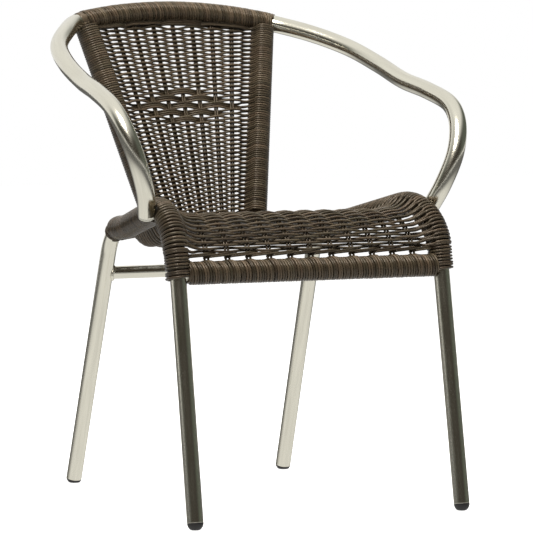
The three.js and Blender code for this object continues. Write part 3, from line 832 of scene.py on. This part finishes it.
front_winding = Hank()
front_line = np.array([(-front_inner, *front_rail_end[1:]), (front_inner, *front_rail_end[1:])])
front_line = np.linspace(*front_line, front_line_points)
front_radii = (front_wrap_radius, front_wrap_radius)
wind(front_winding, front_line, front_wrap_pitch, front_radii, front_wrap_starts, swell=swell_over_stakes)
front_winding.piece("front_rail_winding", wound_strand, "strand", "front_rail_wrap")

rear_inner = rear_rail_end[0] - leg_radius
rear_line_points = 90
rear_winding = Hank()
rear_line = rear_rail_at(np.linspace(-rear_inner, rear_inner, rear_line_points))
rear_radii = (rear_wrap_radius, rear_wrap_radius)
wind(rear_winding, rear_line, rear_wrap_pitch, rear_radii, rear_wrap_starts)
rear_winding.piece("rear_rail_winding", wound_strand, "strand", "rear_rail_wrap")

weld_length = reach(right_leg_line, 1, arm_weld_y)
hem_length = reach(right_leg_line, 2, leg_hem_height)
rear_hem_length = lengths_along(right_leg_line)[-1] - reach(rear_leg_line, 2, rear_hem_height)
rail_length = reach(right_leg_line, 2, front_rail_height)
seat_end_length = reach(right_leg_line, 1, rear_rail_end_y)
core_radii = (core_radius, core_radius)
for side, line in leg_lines.items():
    tail = arm_line[:tail_points] if side == "left" else arm_line[-tail_points:]
    winding = Hank()
    hem = stretch(line, hem_length, rail_length + leg_hem_overlap)
    wind(winding, hem, leg_hem_pitch, (leg_hem_radius, leg_hem_radius), 1, leg_hem_strand)
    core = stretch(line, rail_length, weld_length - weld_margin)
    wind(winding, core, core_pitch, core_radii, side_core_starts, core_strand, tail)
    winding.piece(f"side_winding_front_{side}", wound_strand, "strand", f"side_wrap_front_{side}")
    winding = Hank()
    core = stretch(line, weld_length + weld_margin, seat_end_length)
    wind(winding, core, core_pitch, core_radii, side_core_starts, core_strand, tail)
    hem = stretch(line, seat_end_length - rear_hem_overlap, rear_hem_length)
    wind(winding, hem, rear_hem_pitch, rear_hem_radii, rear_hem_starts, rear_hem_strand)
    winding.piece(f"side_winding_rear_{side}", wound_strand, "strand", f"side_wrap_rear_{side}")

for side, line in upright_lines.items():
    winding = Hank()
    wound_top = lengths_along(line)[-1] - top_wrap_radius * rail_wrap_share
    wound = stretch(line, rear_wrap_radius * rail_wrap_share, wound_top)
    wind(winding, wound, core_pitch, core_radii, upright_core_starts, core_strand)
    winding.piece(f"upright_winding_{side}", wound_strand, "strand", f"upright_wrap_{side}")


# Back panel, woven from the same strand. Seven pairs of stakes fan out from the rear rail to the
# top rail, and single wefts pass before one pair and behind the next, with a turn round each
# upright. Threes of wefts draw a diamond in the middle.
stake_strand = 0.0037
stake_points = 90
stake_apart = 0.52
stake_sway = 0.00015
stake_sway_points = 12
weft_strand = 0.004
weft_jitter = 0.00012
back_bow = 0.011
back_bays = 8
middle_stake = 4
back_pitch = 0.00363
back_rock = 0.0012
back_first = 0.052
back_last = 0.972
back_edge_lift = 0.1
back_turn_radius = 0.0168
back_turn_reach = 0.026
turn_start = 50
full_turn = 325
turn_points = 26
turn_gap = 0.001
turn_rise_power = 2.7
wrap_tuck = 0.0003
# In the outer bays the wefts draw together two by two, most round this share of the bay
gather_rise = 0.0019
gather_place = 0.76
gather_reach = 0.25
gather_fullness = 1.5
diamond_low = 0.509
diamond_high = 0.646
diamond_bundle_step = 0.0034
diamond_rock = 0.0005
diamond_end = 0.35
diamond_ease = 0.1
# Which stakes lie in front of the bundle, and which lie behind it, in each row of the diamond
diamond_rows = [
    ({3, 5}, {4}),
    ({2, 4, 6}, {3, 5}),
    ({1, 3, 5, 7}, {2, 4, 6}),
    ({2, 4, 6}, {3, 5}),
    ({3, 5}, {4}),
]
# The weave takes the wound strand's colours made darker, by about a quarter in dark and brown: painted shade
woven_dark = (0.017, 0.0118, 0.007, 1)
woven_brown = (0.095, 0.0675, 0.0445, 1)
woven_green = (0.066, 0.058, 0.037, 1)
woven_strand = strand_finish("woven strand", woven_dark, woven_brown, woven_green)
panel_length = float(np.linalg.norm(top_rail_at(upright_head) - rear_rail_at(upright_foot)))


def back_surface(across, up):
    """The middle of the back panel: across from -1 to 1, up from the rear rail to the top rail."""
    across, up = np.broadcast_arrays(np.asarray(across, float), np.asarray(up, float))
    foot = rear_rail_at(upright_foot)
    head = top_rail_at(upright_head)
    edge = foot + (head - foot) * up[..., None]
    return np.stack([edge[..., 0] * across, edge[..., 1] + back_bow * (1 - across**2), edge[..., 2]], -1)


def surface_normals(surface, across, up, step=0.002):
    sideways = surface(across + step, up) - surface(across - step, up)
    upwards = surface(across, up + step) - surface(across, up - step)
    return unit(np.cross(sideways, upwards))


def back_stake_across(number, up):
    """Where a stake crosses: the eight bays between the windings are equal."""
    half = between(upright_foot, upright_head, up)
    return (number - middle_stake) / middle_stake * (half - upright_wrap_radii[0] + wrap_tuck) / half


def side_change(signs, bays, share):
    """Eases a weft from one face of the panel to the other between two stakes."""
    ease = (1 - np.cos(np.pi * share)) / 2
    return between(signs[bays], signs[bays + 1], ease)


def weft_line(surface, knots, up, signs, lift, shift=None, rock=0.0, points=11):
    """One weft through the knots, where it crosses the stakes, on the faces that signs give.

    It is pushed up where it passes before a stake and down where it passes behind."""
    bays = np.repeat(np.arange(len(knots) - 1), points)
    share = np.tile(np.arange(points) / points, len(knots) - 1)
    bays = np.append(bays, len(knots) - 2)
    share = np.append(share, 1.0)
    across = between(knots[bays], knots[bays + 1], share)
    height = np.full(len(across), up) if np.isscalar(up) else np.interp(across, knots, up)
    if shift is not None:
        height = height + shift(across)
    nearer = np.where(share < 0.5, signs[bays], signs[bays + 1])
    height = height + rock * nearer * np.abs(np.cos(np.pi * share))
    normals = surface_normals(surface, across, height)
    offset = side_change(signs, bays, share) * lift
    return surface(across, height) + normals * offset[:, None]


def turn_round(line, middle, along, face, radius, reach_in, last=full_turn):
    """Ends a weft with a turn round the tube that carries it. The weft rises over its last stretch,
    passes over the face of the tube and closes behind it."""
    to_line = unit(line[0] - line[-1])
    inward = unit(to_line - along * (to_line @ along))
    over = unit(face - along * (face @ along) - inward * (face @ inward))
    angles = np.radians(np.linspace(turn_start, last, turn_points))
    ring = middle + radius * (np.cos(angles)[:, None] * inward + np.sin(angles)[:, None] * over)
    distance = (line - middle) @ inward
    ring_start = radius * math.cos(angles[0])
    outside = distance > ring_start + turn_gap
    kept = line[outside]
    share = np.clip((reach_in - distance[outside]) / (reach_in - ring_start), 0, 1)
    rise = radius * math.sin(angles[0]) - (kept - middle) @ over
    kept = kept + (share**turn_rise_power * rise)[:, None] * over
    return np.vstack([kept, ring])


row_step = (diamond_high - diamond_low) / (len(diamond_rows) - 1)
back_rows = []
up = diamond_low - row_step / 2 - back_pitch / panel_length / 2
while up > back_first:
    back_rows.insert(0, (up, None, 0))
    up -= back_pitch / panel_length
for row, stakes in enumerate(diamond_rows):
    for strand in (-1, 0, 1):
        back_rows.append((diamond_low + row * row_step + strand * row_step / 3, stakes, strand))
up = diamond_high + row_step / 2 + back_pitch / panel_length / 2
while up < back_last:
    back_rows.append((up, None, 0))
    up += back_pitch / panel_length

back_weave = Hank()
ups = np.linspace(0.0, 1.0, stake_points)
for number in range(1, back_bays):
    for half in (-1, 1):
        half_width = between(upright_foot, upright_head, ups)
        from_middle = (number - middle_stake) / middle_stake
        here = ups * (1 + top_rail_rise / panel_length * (1 - from_middle**2))
        across = back_stake_across(number, here) + half * stake_strand * stake_apart / half_width
        normals = surface_normals(back_surface, across, here)
        sway = wavy(len(ups), stake_sway_points, stake_sway)
        back_weave.lay(back_surface(across, here) + normals * sway[:, None], normals, stake_strand)


def lay_back_weft(up, knots, signs, lift, shift, rock):
    line = weft_line(back_surface, knots, up, signs, lift, shift, rock / panel_length)
    for sign in (1, -1):
        foot, head = upright_lines["right" if sign > 0 else "left"]
        along = unit(head - foot)
        middle = between(foot, head, up)
        line = turn_round(line, middle, along, np.array((0.0, -1.0, 0.0)), back_turn_radius, back_turn_reach)
        line = line[::-1]
    back_weave.lay(line, width=weft_strand)


for row, (up, diamond, strand) in enumerate(back_rows):
    stakes = np.arange(back_bays + 1)
    knots = np.concatenate([[-1], back_stake_across(stakes, up)[1:-1], [1]])
    signs = np.where((stakes + row) % 2 == 0, 1.0, -1.0)
    signs[[0, -1]] *= back_edge_lift
    width = 0.0
    if diamond:
        before, behind = diamond
        signs[list(before)] = -1
        signs[list(behind)] = 1
        width = (max(before) - middle_stake + diamond_end) / middle_stake
    pair = 1 if row % 2 == 0 else -1
    outer_stake = back_stake_across(back_bays - 1, up)
    wrap_edge = 1 - upright_wrap_radii[0] / between(upright_foot, upright_head, up)
    jitter = chance.normal(0, weft_jitter) / panel_length
    bundle = strand * (diamond_bundle_step / panel_length - row_step / 3)

    def pull_together(across):
        beside = (np.abs(across) - outer_stake) / (wrap_edge - outer_stake)
        away = np.abs(beside - gather_place) / gather_reach
        edge = soft(np.clip(gather_fullness - away, 0, 1))
        inside = np.clip((width - np.abs(across)) / diamond_ease + 1, 0, 1) if width else 0.0
        return pair * edge * gather_rise / panel_length + jitter + bundle * inside

    rock = diamond_rock if diamond else back_rock
    lay_back_weft(up, knots, signs, (stake_strand + weft_strand) / 2, pull_together, rock)

# Long arched strands fill the crescent under the top rail. They lie closer at the ends, and on
# the two faces by turns.
arch_count = 7
arch_end = 0.966
arch_end_step = 0.0016
arch_middle = 1.012
arch_middle_step = 0.0054
arch_stakes_up = 0.95
arch_faces = (1.2, -0.9)
for arc in range(arch_count):
    stakes = np.arange(back_bays + 1)
    end_up = arch_end - arch_end_step * arc
    middle_up = arch_middle - arch_middle_step * arc
    knot_ups = middle_up - (middle_up - end_up) * ((stakes - middle_stake) / middle_stake) ** 2
    knots = np.concatenate([[-1], back_stake_across(stakes, arch_stakes_up)[1:-1], [1]])
    signs = np.where((stakes // 2 + arc) % 2 == 0, *arch_faces)
    arched = weft_line(back_surface, knots, knot_ups, signs, (stake_strand + weft_strand) / 2)
    back_weave.lay(arched, width=weft_strand)

back_weave.piece("back_panel_weave", woven_strand, "strand", "back_weave")


# Seat panel, of the same strand. Eleven pairs of stakes leave the front rail, round the front edge
# and run back to the rear rail. Wefts cross them from side rail to side rail, with a turn round
# each, and the seat hangs like a basket.
seat_stake = 0.0036
seat_stakes_each_side = 5
seat_stake_points = 120
seat_stake_apart = 0.68
seat_stake_sway = 0.0002
seat_sway_points = 10
# Over the front edge the two strands of a stake stand wider apart
front_edge_spread = 0.002
front_edge_length = 0.024
front_edge_fullness = 1.1
seat_weft = 0.0042
seat_jitter = 0.0002
seat_rock = 0.0019
seat_edge_lift = 0.3
seat_sag = 0.036
seat_wall_power = 9
seat_sag_shares = np.array([0, 0.06, 0.16, 0.24, 0.36, 0.6, 0.86, 1, 0.93, 0.52, 0])
# Wefts take a turn round the side rails, but only part of one beside an arm tail. The turns
# narrow from this share of the way back
seat_turn_radii = (0.0174, 0.0155)
seat_turn_narrows = 0.375
seat_turn_reach = 0.046
part_turn = 135
part_turn_reach = 0.022
arm_tail_points = 22
rail_step = 0.001
# The wefts are laid a little wider over the front edge than where the seat levels out
seat_first = 0.0325
seat_pitch = 0.00445
seat_rows_left_out = 4
seat_front_extra = 0.0007
seat_front_end = 0.13
seat_front_ease = 0.04
# Beside the rails the wefts gather two by two, and they widen as they climb them
seat_gather = 0.0014
seat_gather_start = 0.83
seat_gather_end = 0.985
seat_gather_ease = 0.06
rail_widening = 0.13
rail_widening_start = 0.8
rail_widening_ease = 0.07
seat_start = reach(right_leg_line, 2, front_rail_height)
seat_stop = reach(right_leg_line, 1, rear_rail_end_y)
sag_line = smooth_line(
    np.stack([np.linspace(0, 1, len(seat_sag_shares)), seat_sag_shares, 0 * seat_sag_shares], -1), 0.01
)


def seat_surface(across, back):
    """The middle of the seat panel: across from -1 to 1, back from the front rail to the rear."""
    across, back = np.broadcast_arrays(np.asarray(across, float), np.asarray(back, float))
    rail = at_lengths(right_leg_line, seat_start + np.clip(back, 0, 1) * (seat_stop - seat_start))
    rear = rear_rail_at(across * rear_rail_end[0])
    wall = 1 - np.clip(np.abs(across), 0, 1) ** seat_wall_power
    sag = np.interp(back, sag_line[:, 0], sag_line[:, 1])
    y = rail[..., 1] + back**2 * (rear[..., 1] - rear_rail_end_y)
    z = rail[..., 2] - wall * seat_sag * sag + back**2 * (rear[..., 2] - rear_rail_end[2])
    return np.stack([across * rail[..., 0], y, z], -1)


seat_length = seat_stop - seat_start
arm_tails = np.vstack([arm_line[:arm_tail_points], arm_line[-arm_tail_points:]])
stake_numbers = np.arange(-seat_stakes_each_side, seat_stakes_each_side + 1)
seat_knots = stake_numbers * seat_stake_step / front_rail_end[0]
seat_weave = Hank()
backs = np.linspace(0.0, 1.0, seat_stake_points)
for knot in seat_knots:
    for half in (-1, 1):
        front_edge = np.clip(front_edge_fullness - backs * seat_length / front_edge_length, 0, 1)
        apart = seat_stake * seat_stake_apart + front_edge_spread * front_edge
        across = knot + half * apart / front_rail_end[0]
        normals = surface_normals(seat_surface, across, backs)
        sway = wavy(len(backs), seat_sway_points, seat_stake_sway)
        seat_weave.lay(seat_surface(across, backs) + normals * sway[:, None], normals, seat_stake)

knots = np.concatenate([[-1.0], seat_knots, [1.0]])


def lay_seat_weft(back, signs, lift, shift):
    line = weft_line(seat_surface, knots, back, signs, lift, shift, -seat_rock / seat_length)
    place = seat_start + back * seat_length
    middle, ahead = at_lengths(right_leg_line, np.array([place, place + rail_step]))
    along = unit(ahead - middle)
    narrowed = np.clip((back - seat_turn_narrows) / (1 - seat_turn_narrows), 0, 1)
    radius = between(*seat_turn_radii, narrowed)
    last = part_turn if abs(place - weld_length) < part_turn_reach else full_turn
    for sign in (1, -1):
        flip = np.array((sign, 1, 1))
        face = np.cross((sign, 0, 0), along * flip) * sign
        line = turn_round(line, middle * flip, along * flip, face, radius, seat_turn_reach, last=last)
        line = line[::-1]
    line = kept_clear(line, arm_tails, arm_radius + seat_weft / 2)
    to_rail = np.abs(line[:, 0]) / middle[0]
    beside_rail = np.clip((to_rail - rail_widening_start) / rail_widening_ease, 0, 1)
    seat_weave.lay(line, width=seat_weft * (1 + rail_widening * beside_rail))


def gathered(across):
    """How much the wefts gather, in a band beside each side rail."""
    inner = np.clip((np.abs(across) - seat_gather_start) / seat_gather_ease, 0, 1)
    outer = np.clip((seat_gather_end - np.abs(across)) / seat_gather_ease, 0, 1)
    return soft(inner * outer)


seat_rows = [seat_first]
while seat_rows[-1] < seat_length - seat_rows_left_out * seat_pitch:
    at_front = min(max((seat_front_end - seat_rows[-1]) / seat_front_ease, 0), 1)
    seat_rows.append(seat_rows[-1] + seat_pitch + seat_front_extra * at_front)
for row, place in enumerate(seat_rows):
    signs = np.where((np.arange(len(knots)) + row) % 2 == 0, 1.0, -1.0)
    signs[[0, -1]] *= seat_edge_lift
    gather = (-seat_gather if row % 2 == 0 else seat_gather) / seat_length
    jitter = chance.normal(0, seat_jitter) / seat_length

    def gather_at_sides(across):
        return gather * gathered(across) + jitter

    lay_seat_weft(place / seat_length, signs, (seat_stake + seat_weft) / 2, gather_at_sides)

# The stakes end in a border above the front rail: each turns aside, rises before two others
# and is tucked behind the third
border_place = 0.0236
border_climb = 0.0027
border_start = -0.1
border_end = 2.5
border_edge = 0.96
border_rise_length = 0.3
border_tuck_length = 0.5
border_strand = 0.8 * seat_weft
border_points = 50
border_lead = 2
for first in range(-border_lead, len(seat_knots)):
    run = np.linspace(border_start, border_end, border_points)
    across = seat_knots[0] + (first + run) * seat_stake_step / front_rail_end[0]
    inside = np.abs(across) < border_edge
    across, run = across[inside], run[inside]
    back = (border_place + border_climb * run) / seat_length
    rising = np.clip((run - border_start) / border_rise_length, 0, 1)
    before = rising * np.clip((border_end - run) / border_tuck_length, 0, 1)
    normals = surface_normals(seat_surface, across, back)
    lift = (2 * before - 1) * (seat_stake + seat_weft) / 2
    seat_weave.lay(seat_surface(across, back) + normals * lift[:, None], width=border_strand)

seat_weave.piece("seat_panel_weave", woven_strand, "strand", "seat_weave")


# Photo studio. A plain pale floor lies in a white surround, under four soft lamps. Polished tube
# mirrors a room of its own: dim on the camera's side, with a floor that is bright only near the
# chair. That gives the tubes their dark streaks and the front legs their dark faces.
def area_lamp(name, place, aim, size, power, colour, mirrored=False):
    data = bpy.data.lights.new(name, "AREA")
    data.shape = "RECTANGLE"
    data.size, data.size_y = size
    data.energy = power
    data.color = colour
    lamp = bpy.data.objects.new(name, data)
    lamp.location = place
    lamp.rotation_euler = (Vector(aim) - Vector(place)).to_track_quat("-Z", "Y").to_euler()
    lamp.visible_glossy = mirrored
    bpy.context.scene.collection.objects.link(lamp)


def eased(tree, value, low, high):
    """Nought below the low value, one above the high value, and a soft change between."""
    node = tree.nodes.new("ShaderNodeMapRange")
    node.interpolation_type = "SMOOTHSTEP"
    node.inputs["From Min"].default_value = low
    node.inputs["From Max"].default_value = high
    tree.links.new(value, node.inputs["Value"])
    return node.outputs[0]


def mixed(tree, share, first, second):
    node = tree.nodes.new("ShaderNodeMixShader")
    for socket, value in zip(node.inputs, (share, first, second)):
        tree.links.new(value, socket)
    return node.outputs[0]


bpy.ops.mesh.primitive_plane_add(size=14, location=(0, 0, 0))
floor = bpy.context.object
floor.name = "studio_floor"
floor_paint = bpy.data.materials.new("studio floor")
floor_paint.use_nodes = True
floor_tree = floor_paint.node_tree
floor_tree.nodes.clear()
floor_output = floor_tree.nodes.new("ShaderNodeOutputMaterial")
floor_path = floor_tree.nodes.new("ShaderNodeLightPath")
floor_diffuse = floor_tree.nodes.new("ShaderNodeBsdfDiffuse")
floor_diffuse.inputs["Color"].default_value = (0.5, 0.5, 0.49, 1)
floor_glow = floor_tree.nodes.new("ShaderNodeEmission")
floor_glow.inputs["Strength"].default_value = 0.975
floor_seen = floor_tree.nodes.new("ShaderNodeAddShader")
floor_tree.links.new(floor_diffuse.outputs[0], floor_seen.inputs[0])
floor_tree.links.new(floor_glow.outputs[0], floor_seen.inputs[1])

floor_ray = floor_tree.nodes.new("ShaderNodeNewGeometry")
ray_slope = floor_tree.nodes.new("ShaderNodeSeparateXYZ")
floor_tree.links.new(floor_ray.outputs["Incoming"], ray_slope.inputs[0])
chair_distance = floor_tree.nodes.new("ShaderNodeVectorMath")
chair_distance.operation = "LENGTH"
floor_tree.links.new(floor_ray.outputs["Position"], chair_distance.inputs[0])
steep = eased(floor_tree, ray_slope.outputs["Z"], low=0.12, high=0.34)
far = eased(floor_tree, chair_distance.outputs["Value"], low=0.8, high=1.9)
near_and_steep = math_node(floor_tree, "MULTIPLY", steep, math_node(floor_tree, "SUBTRACT", 1.0, far))
floor_mirrored = floor_tree.nodes.new("ShaderNodeEmission")
mirrored_light = scaled(floor_tree, near_and_steep, factor=0.7, shift=0.14)
floor_tree.links.new(mirrored_light, floor_mirrored.inputs["Strength"])

floor_look = mixed(
    floor_tree, floor_path.outputs["Is Camera Ray"], floor_diffuse.outputs[0], floor_seen.outputs[0]
)
floor_look = mixed(floor_tree, floor_path.outputs["Is Glossy Ray"], floor_look, floor_mirrored.outputs[0])
floor_tree.links.new(floor_look, floor_output.inputs[0])
floor.data.materials.append(floor_paint)

world = bpy.data.worlds.new("white studio")
bpy.context.scene.world = world
world.use_nodes = True
air = world.node_tree
air.nodes.clear()
air_output = air.nodes.new("ShaderNodeOutputWorld")
air_path = air.nodes.new("ShaderNodeLightPath")
air_way = air.nodes.new("ShaderNodeTexCoord").outputs["Generated"]
air_parts = air.nodes.new("ShaderNodeSeparateXYZ")
air.links.new(air_way, air_parts.inputs[0])
air_height = air_parts.outputs["Z"]


def toward(direction):
    """How much a ray points in a level direction, from -1 to 1."""
    node = air.nodes.new("ShaderNodeVectorMath")
    node.operation = "DOT_PRODUCT"
    node.inputs[1].default_value = direction
    air.links.new(air_way, node.inputs[0])
    return node.outputs["Value"]


def background(colour, strength=1.0):
    node = air.nodes.new("ShaderNodeBackground")
    node.inputs["Color"].default_value = colour
    node.inputs["Strength"].default_value = strength
    return node.outputs[0]


camera_side = eased(air, toward((-0.477, -0.879, 0)), low=0.1, high=0.8)
right_side = eased(air, toward((0.879, -0.477, 0)), low=0.15, high=0.75)
room_side = eased(air, toward((0.113, -0.994, 0)), low=-0.65, high=-0.25)
above_floor = eased(air, air_height, low=-0.03, high=0.02)
# The dim room reaches from the floor up to the light overhead, and higher on the right
overhead = eased(air, scaled(air, right_side, factor=-0.2, shift=air_height), low=0.3, high=0.8)
dim_share = math_node(air, "MULTIPLY", above_floor, math_node(air, "SUBTRACT", 1.0, overhead))
dim_share = math_node(air, "MULTIPLY", dim_share, room_side)
white = (1, 1, 1, 1)
dim_room = mixed(air, camera_side, background((0.11, 0.122, 0.105, 1)), background((0.05, 0.045, 0.038, 1)))
mirrored_room = mixed(air, dim_share, background(white, 0.88), dim_room)
surround = mixed(air, air_path.outputs["Is Camera Ray"], background(white, 0.04), background(white))
air_look = mixed(air, air_path.outputs["Is Glossy Ray"], surround, mirrored_room)
air.links.new(air_look, air_output.inputs[0])

area_lamp("key softbox", (-1.4, -1.5, 2.8), (0, 0, 0.45), (1.4, 1.4), 72, (1, 0.95, 0.88), mirrored=True)
area_lamp("fill softbox", (2.4, -2.2, 1.6), (0, 0, 0.4), (1.6, 1.8), 12, (1, 1, 1))
area_lamp("rear softbox", (0.9, 2.6, 1.9), (0, 0, 0.45), (1.5, 1.2), 26, (1, 0.98, 0.95))
area_lamp("top softbox", (0.2, 0.1, 2.8), (0, 0, 0.4), (1.6, 1.6), 130, (1, 0.97, 0.92))

# Camera. A long lens stands at the left front, a little higher than the chair, and is rolled by
# less than a degree, as the one that took the photograph was.
camera_azimuth = math.radians(-28.5)
camera_elevation = math.radians(4.9)
camera_roll = math.radians(0.72)
camera_distance = 5.2604
camera_aim = Vector((0.02181, -0.02187, 0.35413))
looking = Vector(
    (
        -math.sin(camera_azimuth) * math.cos(camera_elevation),
        math.cos(camera_azimuth) * math.cos(camera_elevation),
        -math.sin(camera_elevation),
    )
)
level_right = Vector((math.cos(camera_azimuth), math.sin(camera_azimuth), 0))
level_up = level_right.cross(looking)
camera_right = math.cos(camera_roll) * level_right + math.sin(camera_roll) * level_up
camera_up = math.cos(camera_roll) * level_up - math.sin(camera_roll) * level_right
camera_data = bpy.data.cameras.new("studio camera")
camera_data.sensor_width = 36
camera_data.lens = 231.7
camera = bpy.data.objects.new("studio camera", camera_data)
bpy.context.scene.collection.objects.link(camera)
camera.matrix_world = Matrix.Translation(camera_aim - looking * camera_distance) @ Matrix(
    (camera_right, camera_up, -looking)
).transposed().to_4x4()
bpy.context.scene.camera = camera
bpy.context.scene.view_settings.view_transform = "Standard"
